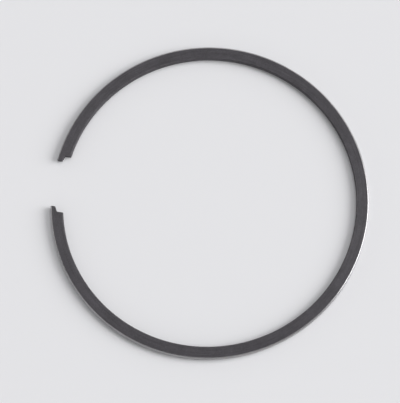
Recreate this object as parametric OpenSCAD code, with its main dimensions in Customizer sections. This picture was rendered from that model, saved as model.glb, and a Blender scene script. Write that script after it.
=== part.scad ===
// Single-piece piston ring for a two-stroke engine, sprung open as it lies off the piston.
// It lies on its lower side face at z = 0, gap towards -X, back towards +X, ring axis along Z.

/* [Ring] */
// Cylinder bore the ring closes into
bore_d = 54; // [40:0.5:80]
// Height from side face to side face
ring_h = 1.2; // [0.8:0.1:2.5]
// Radial width of the band
ring_a = 2.2; // [1.8:0.05:3]

/* [Free form] */
// Gap between the two ends with the ring sprung open
free_gap = 8.5; // [4:0.1:12]
// Gap left between the two ends inside the bore
closed_gap = 0.3; // [0.1:0.05:0.6]
// Extra opening of the back over the arms: 1 presses evenly on the bore wall, 0 is a plain circle
back_share = 0.5; // [0:0.1:1]

/* [Edges] */
// Radius of the barrel on the running face
barrel_r = 8; // [3:0.5:20]
// Rounding of the running face's two edges
edge_r = 0.2; // [0.05:0.05:0.3]
// Chamfer of the two inner edges
inner_chamfer = 0.15; // [0.05:0.05:0.3]

/* [Ends] */
// Length of the nib that stands past the locating-pin notch
notch_l = 0.95; // [0.5:0.05:1.5]
// Radial width of the nib at its tip
nib_tip_w = 0.85; // [0.6:0.05:1]
// Radial width of the nib where it leaves the band
nib_root_w = 1.15; // [1:0.05:1.3]
// Fillet in the corner of the notch
notch_fillet = 0.25; // [0.1:0.05:0.3]
// Rounding of the nib's inner tip corner
nib_r = 0.2; // [0.05:0.05:0.25]
// Bevel on the nib's outer tip corner
tip_bevel = 0.12; // [0.04:0.02:0.2]

/* [Hidden] */
$fn = 240;
// Cutting tools run this far past the ring
past = 2;
// Short steps along each small rounding
arc_steps = 6;
// Mid-line radius of the closed ring
mid_r = (bore_d - ring_a) / 2;
// Mean share of its curvature that the ring gives up when it springs open
open_share = share_for(0, 0.2, 40);
// Mid-line radii of the back half and of the two arms, to the micrometre
back_r = micron(free_r(open_share, back_share));
arm_r = micron(free_r(open_share, -back_share));
// Arm centres stand off the middle by this, so that arms and back meet on a common tangent
arm_off = back_r - arm_r;
// Outer face of the band on the line of each end's tip face, and at the outer bevel's upper end
tip_x = arm_x(free_gap / 2);
left_x = arm_x(free_gap / 2 + tip_bevel);
// The middle of the outline's length lies on the origin
mid_x = micron((left_x - back_r - ring_a / 2) / 2);

function micron(x) = round(x * 1000) / 1000;

// Free radius where the ring gives up its mean share, plus or minus the part that the form adds
function free_r(share, form) = mid_r / (1 - share * (1 + form * 2 / PI));

// Mid-line length from end to end of the free ring
function free_l(share) =
    let (back = free_r(share, back_share), arm = free_r(share, -back_share))
    let (end_turn = acos((free_gap / 2 - back + arm) / arm))
    PI * back + 2 * arm * end_turn * PI / 180;

// The share at which the free ring is just as long as it is in the bore
function share_for(low, high, tries) =
    let (middle = (low + high) / 2)
    tries == 0 ? middle
    : free_l(middle) > 2 * PI * mid_r - closed_gap ? share_for(low, middle, tries - 1)
    : share_for(middle, high, tries - 1);

// Distance from the Y axis to an arm's outer face at that height above the X axis
function arm_x(y) = sqrt(pow(arm_r + ring_a / 2, 2) - pow(y - arm_off, 2));

function unit(v) = v / norm(v);

function short_turn(a) = a > 180 ? a - 360 : a < -180 ? a + 360 : a;

function arc(centre, r, from, turn) =
    [for (i = [0:arc_steps]) centre + r * [cos(from + turn * i / arc_steps), sin(from + turn * i / arc_steps)]];

// Corner b of the path a, b, c rounded to the radius r
function rounded(a, b, c, r) =
    let (u = unit(a - b), v = unit(c - b), half = acos(u * v) / 2)
    let (centre = b + unit(u + v) * r / sin(half))
    let (p = b + u * r / tan(half) - centre, q = b + v * r / tan(half) - centre)
    let (from = atan2(p.y, p.x))
    arc(centre, r, from, short_turn(atan2(q.y, q.x) - from));

// Band section about its mid-line: barrel and rounded edges outside, chamfers inside
module section() {
    lean = asin((ring_h / 2 - edge_r) / (barrel_r - edge_r));
    barrel_at = [ring_a / 2 - barrel_r, ring_h / 2];
    edge_x = barrel_at.x + (barrel_r - edge_r) * cos(lean);
    polygon(concat(
        arc([edge_x, edge_r], edge_r, -90, 90 - lean),
        arc(barrel_at, barrel_r, -lean * (1 - 2 / arc_steps), 2 * lean * (1 - 2 / arc_steps)),
        arc([edge_x, ring_h - edge_r], edge_r, lean, 90 - lean),
        [[inner_chamfer - ring_a / 2, ring_h], [-ring_a / 2, ring_h - inner_chamfer]],
        [[-ring_a / 2, inner_chamfer], [inner_chamfer - ring_a / 2, 0]]
    ));
}

// Part of the band bent about the Z axis, its mid-line at r
module bend(r, from, turn) {
    rotate([0, 0, from])
        rotate_extrude(angle = turn)
            translate([r, 0])
                section();
}

// Uncut band: the back half and two tighter arms on common tangents
module band() {
    bend(back_r, -90, 180);
    translate([0, arm_off, 0])
        bend(arm_r, 90, 90);
    translate([0, -arm_off, 0])
        bend(arm_r, 180, 90);
}

// Parallel gap that widens on the inside to a notch at each end, so that a nib stands outside it
module end_gap() {
    half = free_gap / 2;
    edge = [
        [-tip_x - past, half + tip_bevel + past],
        [tip_bevel - tip_x, half],
        [nib_tip_w - tip_x, half],
        [nib_root_w - arm_x(half + notch_l), half + notch_l],
        [ring_a + past - tip_x, half + notch_l]
    ];
    upper = concat(
        [edge[0], edge[1]],
        rounded(edge[1], edge[2], edge[3], nib_r),
        rounded(edge[2], edge[3], edge[4], notch_fillet),
        [edge[4]]
    );
    last = len(upper) - 1;
    lower = [for (i = [last:-1:0]) [upper[i].x, -upper[i].y]];
    translate([0, 0, -past])
        linear_extrude(height = ring_h + 2 * past)
            polygon(concat(upper, lower));
}

module piston_ring() {
    color([0.3, 0.295, 0.3])
        translate([mid_x, 0, 0])
            difference() {
                band();
                end_gap();
            }
}

piston_ring();
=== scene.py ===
import math

import bmesh
import bpy
from mathutils import Matrix, Vector


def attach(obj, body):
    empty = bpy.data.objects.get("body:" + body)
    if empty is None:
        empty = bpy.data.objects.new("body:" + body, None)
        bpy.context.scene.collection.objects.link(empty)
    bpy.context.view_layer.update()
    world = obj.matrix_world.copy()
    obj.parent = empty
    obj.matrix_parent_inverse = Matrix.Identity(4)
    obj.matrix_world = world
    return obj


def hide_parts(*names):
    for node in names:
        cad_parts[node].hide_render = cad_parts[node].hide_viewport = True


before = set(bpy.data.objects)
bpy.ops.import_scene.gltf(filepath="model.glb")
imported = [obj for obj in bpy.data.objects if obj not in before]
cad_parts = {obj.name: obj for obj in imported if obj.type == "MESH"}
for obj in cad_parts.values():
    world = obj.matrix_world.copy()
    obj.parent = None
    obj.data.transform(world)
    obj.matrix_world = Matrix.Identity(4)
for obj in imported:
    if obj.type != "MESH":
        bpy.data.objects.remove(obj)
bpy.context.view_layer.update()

# The ring's driving sizes in metres, and its back's extra opening as a share, as in the CAD source
MM = 0.001
BORE_D = 54 * MM
RING_H = 1.2 * MM
RING_A = 2.2 * MM
HALF_GAP = 4.25 * MM
CLOSED_GAP = 0.3 * MM
BACK_SHARE = 0.5
BARREL_R = 8 * MM
EDGE_R = 0.2 * MM
INNER_CHAMFER = 0.15 * MM
NOTCH_L = 0.95 * MM
NIB_TIP_W = 0.85 * MM
NIB_ROOT_W = 1.15 * MM
NOTCH_FILLET = 0.25 * MM
NIB_R = 0.2 * MM
TIP_BEVEL = 0.12 * MM
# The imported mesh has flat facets, so the skin's running face lies this far inside the true one
SKIN_IN = 0.008 * MM
# Broken edges all round the two cut ends
END_BREAK = 0.03 * MM

# Fineness of the mesh, and the least angle between faces that stays a sharp edge
STEP_DEG = 0.75
ARC_STEPS = 8
BARREL_STEPS = 3
BREAK_STEPS = 3
SHARP_DEG = 28
# Searches by halving: how many halvings, the most curvature that a ring gives up when it springs open, and
# the angles between which a row meets an end's cut
HALVINGS = 60
MOST_SHARE = 0.2
CUT_FROM_DEG = 120
CUT_TO_DEG = 180

# Rows of the section, counted from the inner wall, between which the flat upper face lies; chrome starts
# where the flat face ends
FLAT_IN = 1
FLAT_OUT = 2

# Texture map: the band's unrolled strips, the gap between them, where up the map the walls of the upper
# and the lower end start, and how much of a wall's run along Y counts there beside its run along X
STRIPS = 5
STRIP_GAP = 0.3 * MM
UPPER_WALL_AT = 0.5
LOWER_WALL_AT = 0.1
WALL_SLANT = 0.8

# Floor: half its side, and how far it lies under the ring so that their faces don't share a plane
FLOOR_HALF = 0.8
FLOOR_DROP = 0.01 * MM

# Camera, found by laying the ring's edges over those in the photograph
IMAGE_W, IMAGE_H = 400, 403
SENSOR_W = 36
CAM_DISTANCE = 450 * MM
CAM_TILT = 14.39
CAM_TOWARD = -79.38
CAM_UP = 97.10
PX_PER_MM = 5.6482
RING_AT_PX = (210.52, 202.53)


def halve(low, high, is_past):
    """Value between low and high from which on is_past is true."""
    for _ in range(HALVINGS):
        middle = (low + high) / 2
        if is_past(middle):
            high = middle
        else:
            low = middle
    return (low + high) / 2


def free_radii(share):
    """Mid-line radii of the back half and of the arms, at a mean share of curvature given up."""
    closed_r = (BORE_D - RING_A) / 2
    return [closed_r / (1 - share * (1 + form * 2 / math.pi)) for form in (BACK_SHARE, -BACK_SHARE)]


def is_too_long(share):
    """Whether the free ring is longer along its mid-line than it is inside its bore."""
    back_r, arm_r = free_radii(share)
    end_turn = math.acos((HALF_GAP - back_r + arm_r) / arm_r)
    return math.pi * back_r + 2 * arm_r * end_turn > math.pi * (BORE_D - RING_A) - CLOSED_GAP


def arm_x(y):
    """Distance along X from the back's centre to an arm's outer face at that y."""
    return math.sqrt((ARM_R + RING_A / 2) ** 2 - (y - ARM_OFF) ** 2)


# Free form to the micrometre: mid-line radii, the arms' offset, and the back's centre beside the origin
BACK_R, ARM_R = (round(r, 6) for r in free_radii(halve(0, MOST_SHARE, is_too_long)))
ARM_OFF = BACK_R - ARM_R
MID_X = round((arm_x(HALF_GAP + TIP_BEVEL) - BACK_R - RING_A / 2) / 2, 6)


def arc(centre, r, start, turn, steps):
    """Points on an arc, angles in degrees."""
    angles = [math.radians(start + turn * i / steps) for i in range(steps + 1)]
    return [(centre[0] + r * math.cos(a), centre[1] + r * math.sin(a)) for a in angles]


def rounded(a, b, c, r, steps):
    """Corner b of the path a, b, c, rounded to the radius r."""
    b = Vector(b)
    u = (Vector(a) - b).normalized()
    v = (Vector(c) - b).normalized()
    half = math.acos(u.dot(v)) / 2
    centre = b + (u + v).normalized() * (r / math.sin(half))
    p = b + u * (r / math.tan(half)) - centre
    q = b + v * (r / math.tan(half)) - centre
    start = math.degrees(math.atan2(p.y, p.x))
    turn = (math.degrees(math.atan2(q.y, q.x)) - start + 180) % 360 - 180
    return arc(centre, r, start, turn, steps)


def section():
    """Rows of the band's section, over the top and back below: distance out from the mid-line, height."""
    lean = math.degrees(math.asin((RING_H / 2 - EDGE_R) / (BARREL_R - EDGE_R)))
    barrel_at = (RING_A / 2 - SKIN_IN - BARREL_R, RING_H / 2)
    edge_x = barrel_at[0] + (BARREL_R - EDGE_R) * math.cos(math.radians(lean))
    upper = [(-RING_A / 2, RING_H - INNER_CHAMFER), (INNER_CHAMFER - RING_A / 2, RING_H)]
    upper += arc((edge_x, RING_H - EDGE_R), EDGE_R, 90, lean - 90, ARC_STEPS)
    step = 2 * lean / (2 * BARREL_STEPS - 1)
    upper += arc(barrel_at, BARREL_R, lean, step * (1 - BARREL_STEPS), BARREL_STEPS - 1)[1:]
    return upper + [(out, RING_H - z) for out, z in reversed(upper)]


def end_edge():
    """Plan of the upper end's cut, from outside the ring to inside it, about the back's centre."""
    tip_x = arm_x(HALF_GAP)
    floor_y = HALF_GAP + NOTCH_L
    bevel = (TIP_BEVEL - tip_x, HALF_GAP)
    tip = (NIB_TIP_W - tip_x, HALF_GAP)
    root = (NIB_ROOT_W - arm_x(floor_y), floor_y)
    inside = (2 * RING_A - tip_x, floor_y)
    outside = (bevel[0] - RING_A, HALF_GAP + RING_A)
    nib = rounded(bevel, tip, root, NIB_R, ARC_STEPS)
    notch = rounded(tip, root, inside, NOTCH_FILLET, ARC_STEPS)
    return [outside, bevel] + nib + notch + [inside]


def cut_y(edge, x):
    """Height of the end's cut above the X axis at that x."""
    for p, q in zip(edge, edge[1:]):
        if p[0] <= x <= q[0]:
            return p[1] + (q[1] - p[1]) * (x - p[0]) / (q[0] - p[0])
    return edge[-1][1]


def on_arm(out, angle):
    """Plan point of the upper arm, about the back's centre."""
    r = ARM_R + out
    return r * math.cos(angle), ARM_OFF + r * math.sin(angle)


def end_point(edge, out):
    """Where the upper arm's row at that distance from the mid-line meets the cut."""
    def is_past_cut(angle):
        x, y = on_arm(out, angle)
        return y <= cut_y(edge, x)

    return on_arm(out, halve(math.radians(CUT_FROM_DEG), math.radians(CUT_TO_DEG), is_past_cut))


def plan_place(x, y):
    """Length along the mid-line from the back's middle, and distance out from the mid-line."""
    if x >= 0:
        return math.atan2(y, x) * BACK_R, math.hypot(x, y) - BACK_R
    side = math.copysign(1, y)
    past = math.atan2(abs(y) - ARM_OFF, x) - math.pi / 2
    return side * (BACK_R * math.pi / 2 + past * ARM_R), math.hypot(x, abs(y) - ARM_OFF) - ARM_R


def stations():
    """Places from the lower end round the back to the upper end: the arc's centre y, radius and angle."""
    last_y = HALF_GAP + NOTCH_L + RING_A / 4
    last = math.pi - math.asin((last_y - ARM_OFF) / ARM_R)
    arm_turn = last - math.pi / 2
    arm_steps = round(math.degrees(arm_turn) / STEP_DEG)
    back_steps = round(180 / STEP_DEG)
    lower = [(-ARM_OFF, ARM_R, -last + arm_turn * i / arm_steps) for i in range(arm_steps)]
    back = [(0, BACK_R, math.pi * (i / back_steps - 0.5)) for i in range(back_steps + 1)]
    upper = [(ARM_OFF, ARM_R, -angle) for _, _, angle in reversed(lower)]
    return lower + back + upper


def build_ring():
    """The ring as one closed mesh of rows along the band, with stepped ends and a texture map."""
    rows = section()
    total = len(rows)
    edge = end_edge()
    bm = bmesh.new()
    wall_of = bm.faces.layers.int.new("wall")
    worn_of = bm.faces.layers.float.new("worn")

    def vertex(x, y, z):
        return bm.verts.new((MID_X + x, y, z))

    def face(corners, chrome=False, wall=False):
        f = bm.faces.new(corners)
        f.material_index = 1 if chrome else 0
        f[wall_of] = 1 if wall else 0
        f.smooth = True

    def is_chrome(i):
        return FLAT_OUT <= i < total - 1 - FLAT_OUT

    grid = []
    for centre_y, r, angle in stations():
        plan = [((r + out) * math.cos(angle), centre_y + (r + out) * math.sin(angle)) for out, _ in rows]
        grid.append([vertex(x, y, z) for (x, y), (_, z) in zip(plan, rows)])
    for line, after in zip(grid, grid[1:]):
        for i in range(total):
            j = (i + 1) % total
            face((line[i], after[i], after[j], line[j]), is_chrome(i))

    # Each end: the rows run on to the cut, the two side faces take its outline, and walls close it
    low_out, low_in = total - 1 - FLAT_OUT, total - 1 - FLAT_IN
    for side, line in ((1, grid[-1]), (-1, grid[0])):
        plan = [end_point(edge, out) for out, _ in rows]
        ends = [vertex(x, y * side, z) for (x, y), (_, z) in zip(plan, rows)]
        between = [p for p in edge if plan[FLAT_OUT][0] < p[0] < plan[FLAT_IN][0]]
        top = [vertex(x, y * side, RING_H) for x, y in between]
        low = [vertex(x, y * side, 0) for x, y in between]
        for i in range(total):
            j = (i + 1) % total
            if i == FLAT_IN:
                face([line[i], line[j], ends[j]] + top + [ends[i]])
            elif i == low_out:
                face([line[j], line[i], ends[i]] + low + [ends[j]])
            else:
                face((line[i], line[j], ends[j], ends[i]), is_chrome(i))
        top_line = ends[:FLAT_IN + 1] + top[::-1] + ends[FLAT_OUT:total // 2]
        low_line = ends[:low_in - 1:-1] + low[::-1] + ends[low_out:total // 2 - 1:-1]
        for i in range(len(top_line) - 1):
            face((top_line[i], top_line[i + 1], low_line[i + 1], low_line[i]), wall=True)
    bmesh.ops.recalc_face_normals(bm, faces=bm.faces)

    # The ends' edges are broken, and the coat is thin there
    cut = [e for e in bm.edges if sum(f[wall_of] for f in e.link_faces) == 1]
    broken = bmesh.ops.bevel(
        bm,
        geom=cut + list({v for e in cut for v in e.verts}),
        offset=END_BREAK,
        offset_type="OFFSET",
        segments=BREAK_STEPS,
        profile=0.5,
        affect="EDGES",
        clamp_overlap=True,
        material=-1,
    )
    for f in broken["faces"]:
        f[worn_of] = 1.0

    # Places along and across the band, for the materials
    along_of = bm.verts.layers.float.new("along")
    out_of = bm.verts.layers.float.new("out")
    for v in bm.verts:
        v.co.z = min(RING_H, max(0, v.co.z))
        v[along_of], v[out_of] = plan_place(v.co.x - MID_X, v.co.y)
    map_strips(bm, rows, wall_of, along_of, out_of)

    mesh = bpy.data.meshes.new("ring_skin")
    bm.to_mesh(mesh)
    bm.free()
    mesh.set_sharp_from_angle(angle=math.radians(SHARP_DEG))
    return mesh


def map_strips(bm, rows, wall_of, along_of, out_of):
    """Texture map: the band unrolled into strips, with the two cut ends beside them."""
    points = [Vector(p) for p in rows]
    sides = list(zip(points, points[1:] + points[:1]))
    starts = [0]
    for a, b in sides:
        starts.append(starts[-1] + (b - a).length)
    around = starts[-1]

    def place_round(v):
        """Length round the section, from the first row, of the section's point nearest to the vertex."""
        p = Vector((v[out_of], v.co.z))
        best = None
        for (a, b), start in zip(sides, starts):
            d = b - a
            share = min(1, max(0, (p - a).dot(d) / d.length_squared))
            gap = (a + d * share - p).length
            if best is None or gap < best[0]:
                best = (gap, start + d.length * share)
        return best[1]

    rounds = {v: place_round(v) for v in bm.verts}
    first = min(v[along_of] for v in bm.verts)
    strip = (max(v[along_of] for v in bm.verts) - first) / STRIPS
    wide = max(strip + RING_H + 3 * STRIP_GAP, STRIPS * (around + STRIP_GAP) + STRIP_GAP)
    uv_of = bm.loops.layers.uv.new("OFBake")
    for f in bm.faces:
        if f[wall_of]:
            upper = f.calc_center_median().y > 0
            for corner in f.loops:
                x, y, z = corner.vert.co
                deep = x - MID_X + arm_x(HALF_GAP) + WALL_SLANT * (abs(y) - HALF_GAP)
                corner[uv_of].uv = (
                    1 - (strip + 2 * STRIP_GAP + (z if upper else RING_H - z)) / wide,
                    deep / wide + (UPPER_WALL_AT if upper else LOWER_WALL_AT),
                )
            continue
        middle = sum(v[along_of] for v in f.verts) / len(f.verts)
        k = min(STRIPS - 1, int((middle - first) / strip))
        low = min(rounds[v] for v in f.verts)
        high = max(rounds[v] for v in f.verts)
        for corner in f.loops:
            v = corner.vert
            wraps = high - low > around / 2 and rounds[v] < around / 2
            corner[uv_of].uv = (
                1 - (STRIP_GAP + v[along_of] - first - k * strip) / wide,
                (STRIP_GAP + k * (around + STRIP_GAP) + rounds[v] + (around if wraps else 0)) / wide,
            )


def link(tree, a, b):
    tree.links.new(a, b)


def add(tree, kind, **values):
    """A node with its inputs set by name, spaces written as underscores."""
    node = tree.nodes.new(kind)
    for name, value in values.items():
        node.inputs[name.replace("_", " ")].default_value = value
    return node


def attribute(tree, name):
    node = tree.nodes.new("ShaderNodeAttribute")
    node.attribute_name = name
    return node.outputs["Fac"]


def times(tree, value, by):
    node = tree.nodes.new("ShaderNodeMath")
    node.operation = "MULTIPLY"
    link(tree, value, node.inputs[0])
    if isinstance(by, bpy.types.NodeSocket):
        link(tree, by, node.inputs[1])
    else:
        node.inputs[1].default_value = by
    return node.outputs[0]


def ramp(tree, value, stops):
    """Colours by value, stops in order."""
    node = tree.nodes.new("ShaderNodeValToRGB")
    elements = node.color_ramp.elements
    for i, (position, colour) in enumerate(stops):
        element = elements[i] if i < 2 else elements.new(position)
        element.position = position
        element.color = colour
    link(tree, value, node.inputs["Fac"])
    return node.outputs["Color"]


def grey(v, tint=(1, 1, 1)):
    return (v * tint[0], v * tint[1], v * tint[2], 1)


def mix(tree, kind, factor, a, b):
    """Blend of two colours, by a number or by a socket."""
    node = tree.nodes.new("ShaderNodeMix")
    node.data_type = "RGBA"
    node.blend_type = kind
    sockets = {s.identifier: s for s in node.inputs}
    if isinstance(factor, bpy.types.NodeSocket):
        link(tree, factor, sockets["Factor_Float"])
    else:
        sockets["Factor_Float"].default_value = factor
    for name, value in (("A_Color", a), ("B_Color", b)):
        if isinstance(value, bpy.types.NodeSocket):
            link(tree, value, sockets[name])
        else:
            sockets[name].default_value = value
    return next(s for s in node.outputs if s.identifier == "Result_Color")


def new_material(name):
    material = bpy.data.materials.new(name)
    material.use_nodes = True
    tree = material.node_tree
    return material, tree, tree.nodes["Principled BSDF"]


def noise(tree, vector, scale, detail):
    node = add(tree, "ShaderNodeTexNoise", Scale=scale, Detail=detail, Roughness=0.6)
    link(tree, vector, node.inputs["Vector"])
    return node.outputs["Fac"]


def grain(tree, per_mm, detail):
    """Even noise, the same in all directions."""
    return noise(tree, tree.nodes.new("ShaderNodeTexCoord").outputs["Object"], per_mm / MM, detail)


def marks(tree, per_mm_along, per_mm_across, detail):
    """Noise drawn out along the band, as grinding and lapping leave it."""
    parts = tree.nodes.new("ShaderNodeSeparateXYZ")
    link(tree, tree.nodes.new("ShaderNodeTexCoord").outputs["Object"], parts.inputs[0])
    join = tree.nodes.new("ShaderNodeCombineXYZ")
    link(tree, times(tree, attribute(tree, "along"), per_mm_along / MM), join.inputs[0])
    link(tree, times(tree, attribute(tree, "out"), per_mm_across / MM), join.inputs[1])
    link(tree, times(tree, parts.outputs["Z"], per_mm_across / MM), join.inputs[2])
    return noise(tree, join.outputs[0], 1.0, detail)


def bump(tree, height, strength, distance, under=None):
    node = add(tree, "ShaderNodeBump", Strength=strength, Distance=distance)
    link(tree, height, node.inputs["Height"])
    if under is not None:
        link(tree, under, node.inputs["Normal"])
    return node.outputs["Normal"]


def across_band(tree, stops):
    """Greys by distance out from the mid-line, in metres."""
    node = add(tree, "ShaderNodeMapRange", From_Min=-RING_A / 2, From_Max=RING_A / 2)
    link(tree, attribute(tree, "out"), node.inputs["Value"])
    return ramp(tree, node.outputs["Result"], [(out / RING_A + 0.5, grey(v)) for out, v in stops])


def phosphate():
    """Dark grey phosphate over lapped iron, rubbed a little on its edges."""
    material, tree, shader = new_material("dark_phosphate")
    tint = (1.0, 0.93, 1.06)
    patches = ramp(tree, grain(tree, 0.4, 5.0), [(0.3, grey(0.0535, tint)), (0.7, grey(0.0705, tint))])
    streaks = ramp(tree, marks(tree, 0.15, 5.0, 4.0), [(0.3, grey(0.67)), (0.7, grey(1.18))])
    specks = ramp(tree, grain(tree, 7.0, 3.0), [(0.32, grey(0.70)), (0.68, grey(1.24))])
    coat = mix(tree, "MULTIPLY", 1.0, mix(tree, "MULTIPLY", 1.0, patches, streaks), specks)
    inner = INNER_CHAMFER - RING_A / 2
    outer = RING_A / 2 - EDGE_R
    edges = across_band(tree, [
        (inner - 0.06 * MM, 0.0),
        (inner, 0.9),
        (inner + 0.05 * MM, 0.0),
        (outer - 0.09 * MM, 0.0),
        (outer + 0.02 * MM, 1.0),
        (outer + 0.12 * MM, 0.5),
    ])
    rubbed = ramp(tree, grain(tree, 1.6, 4.0), [(0.42, grey(0.05)), (0.66, grey(0.75))])
    wear = times(tree, mix(tree, "LIGHTEN", 1.0, edges, attribute(tree, "worn")), rubbed)
    link(tree, mix(tree, "MIX", wear, coat, (0.17, 0.165, 0.165, 1)), shader.inputs["Base Color"])
    rough = ramp(tree, grain(tree, 2.0, 5.0), [(0.3, grey(0.46)), (0.7, grey(0.60))])
    link(tree, rough, shader.inputs["Roughness"])
    fine = bump(tree, grain(tree, 16.0, 3.0), 0.3, 0.01 * MM)
    link(tree, bump(tree, marks(tree, 0.2, 18.0, 3.0), 0.25, 0.008 * MM, fine), shader.inputs["Normal"])
    shader.inputs["IOR"].default_value = 1.5
    shader.inputs["Specular IOR Level"].default_value = 0.36
    shader.inputs["Anisotropic"].default_value = 0.6
    shader.inputs["Anisotropic Rotation"].default_value = 0.25
    round_the_ring(tree, shader)
    return material


def chrome():
    """Hard chrome, finely ground round the ring."""
    material, tree, shader = new_material("hard_chrome")
    tint = (1.0, 0.985, 1.005)
    tone = ramp(tree, marks(tree, 0.12, 12.0, 4.0), [(0.3, grey(0.37, tint)), (0.7, grey(0.45, tint))])
    link(tree, tone, shader.inputs["Base Color"])
    rough = ramp(tree, marks(tree, 0.3, 24.0, 3.0), [(0.3, grey(0.25)), (0.7, grey(0.35))])
    link(tree, rough, shader.inputs["Roughness"])
    link(tree, bump(tree, marks(tree, 0.25, 30.0, 3.0), 0.15, 0.004 * MM), shader.inputs["Normal"])
    shader.inputs["Metallic"].default_value = 1.0
    shader.inputs["Anisotropic"].default_value = 0.85
    shader.inputs["Anisotropic Rotation"].default_value = 0.25
    round_the_ring(tree, shader)
    return material


def round_the_ring(tree, shader):
    """Grinding marks run round the ring's axis."""
    tangent = tree.nodes.new("ShaderNodeTangent")
    tangent.direction_type = "RADIAL"
    tangent.axis = "Z"
    link(tree, tangent.outputs["Tangent"], shader.inputs["Tangent"])


def make_floor():
    mesh = bpy.data.meshes.new("floor")
    bm = bmesh.new()
    bmesh.ops.create_grid(bm, x_segments=1, y_segments=1, size=FLOOR_HALF)
    bm.to_mesh(mesh)
    bm.free()
    floor = bpy.data.objects.new("floor", mesh)
    floor.location.z = -FLOOR_DROP
    bpy.context.scene.collection.objects.link(floor)
    material, _, shader = new_material("pale_floor")
    shader.inputs["Base Color"].default_value = (0.80, 0.80, 0.818, 1)
    shader.inputs["Roughness"].default_value = 1.0
    shader.inputs["Specular IOR Level"].default_value = 0.0
    mesh.materials.append(material)


def make_world():
    """Soft light from a dome that is darkest overhead and meets the floor's colour at the horizon."""
    world = bpy.data.worlds.new("studio")
    world.use_nodes = True
    tree = world.node_tree
    parts = tree.nodes.new("ShaderNodeSeparateXYZ")
    link(tree, tree.nodes.new("ShaderNodeTexCoord").outputs["Generated"], parts.inputs[0])
    dome = ramp(tree, parts.outputs["Z"], [(0.0, (0.79, 0.79, 0.80, 1)), (1.0, grey(0.17))])
    link(tree, dome, tree.nodes["Background"].inputs["Color"])
    bpy.context.scene.world = world


def make_light(name, azimuth, elevation, distance, width, power):
    """Soft round lamp that faces the ring: degrees, metres and watts."""
    data = bpy.data.lights.new(name, "AREA")
    data.shape = "DISK"
    data.size = width
    data.energy = power
    light = bpy.data.objects.new(name, data)
    a, e = math.radians(azimuth), math.radians(elevation)
    place = Vector((math.cos(a) * math.cos(e), math.sin(a) * math.cos(e), math.sin(e)))
    light.location = place * distance
    light.rotation_euler = (-place).to_track_quat("-Z", "Y").to_euler()
    bpy.context.scene.collection.objects.link(light)


def make_camera():
    data = bpy.data.cameras.new("camera")
    data.sensor_width = SENSOR_W
    data.lens = PX_PER_MM / MM * CAM_DISTANCE * SENSOR_W / max(IMAGE_W, IMAGE_H)
    data.clip_start = 0.01
    data.clip_end = 50
    camera = bpy.data.objects.new("camera", data)
    tilt, toward, up_at = (math.radians(a) for a in (CAM_TILT, CAM_TOWARD, CAM_UP))
    back = Vector((math.cos(toward) * math.sin(tilt), math.sin(toward) * math.sin(tilt), math.cos(tilt)))
    up = Vector((math.cos(up_at), math.sin(up_at), 0))
    up = (up - back * up.dot(back)).normalized()
    right = up.cross(back)
    camera.location = back * CAM_DISTANCE
    # The picture's middle lies beside the ring's, so the camera looks at that point
    aside = right * (IMAGE_W / 2 - RING_AT_PX[0]) - up * (IMAGE_H / 2 - RING_AT_PX[1])
    look = (aside * (MM / PX_PER_MM) - camera.location).normalized()
    up = (up - look * up.dot(look)).normalized()
    camera.rotation_euler = Matrix((look.cross(up), up, -look)).transposed().to_euler()
    bpy.context.scene.collection.objects.link(camera)
    bpy.context.scene.camera = camera


ring = bpy.data.objects.new("ring_skin", build_ring())
ring.data.materials.append(phosphate())
ring.data.materials.append(chrome())
bpy.context.scene.collection.objects.link(ring)
even = ring.modifiers.new("even_faces", "WEIGHTED_NORMAL")
even.keep_sharp = True
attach(ring, "root")
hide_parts("piston_ring")

make_floor()
make_world()
make_light("key", azimuth=10, elevation=32, distance=6.0, width=5.0, power=330)
make_light("fill", azimuth=72, elevation=68, distance=6.0, width=3.6, power=72)
make_camera()
bpy.context.scene.view_settings.view_transform = "Standard"
